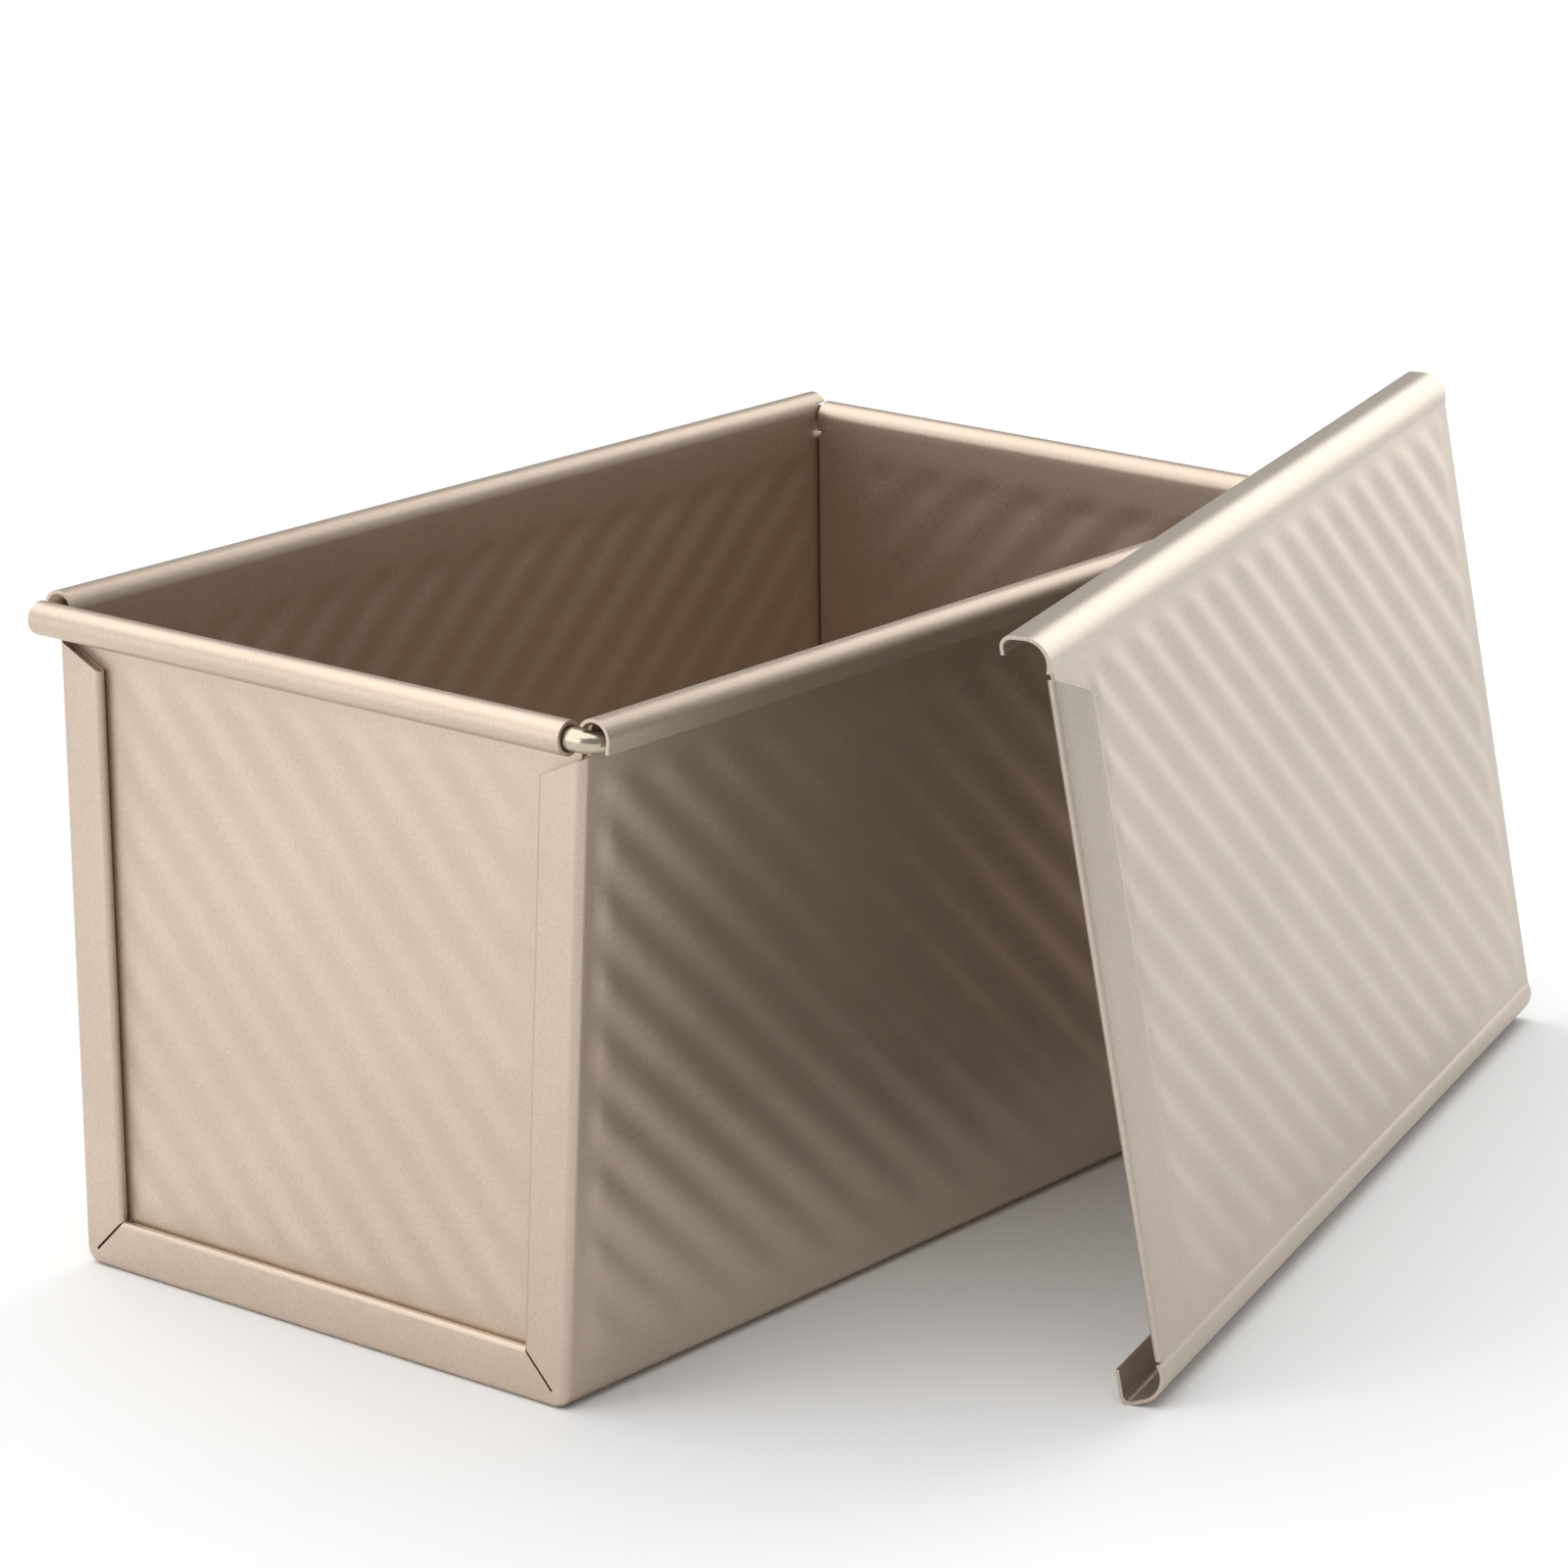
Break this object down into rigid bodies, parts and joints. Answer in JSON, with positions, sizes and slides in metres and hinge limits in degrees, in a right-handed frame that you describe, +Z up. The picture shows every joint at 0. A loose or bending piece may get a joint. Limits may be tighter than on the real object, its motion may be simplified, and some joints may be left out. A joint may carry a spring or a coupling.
{
  "type": "pullman loaf pan with sliding lid",
  "caption": "Folded sheet loaf pan with diagonally ribbed walls, seamed end frames, a wired rim of beads and rolls, and a ribbed lid whose edge channels slide on it; lid shown off, leaning.",
  "frame": {"origin": "middle of the pan's underside, on the surface it stands on", "axes": "+X along the pan to its rear end, +Y across to the wall away from the lid, +Z up"},
  "size_m": [0.2677, 0.1842, 0.122],
  "materials": {
    "coated_sheet": "satin",
    "lid_sheet": "satin",
    "rim_wire": "satin"
  },
  "bodies": {
    "pan": {"body_shell": "coated_sheet", "front_end_wall": "coated_sheet", "rear_end_wall": "coated_sheet", "rim_wire": "rim_wire"},
    "cover": {"lid": "lid_sheet"}
  },
  "joints": [
    {"name": "lid_slide", "type": "slide", "parent": "pan", "child": "cover", "axis": [0.9641, 0.2656, 0], "range_m": [0, 0.2]}
  ]
}
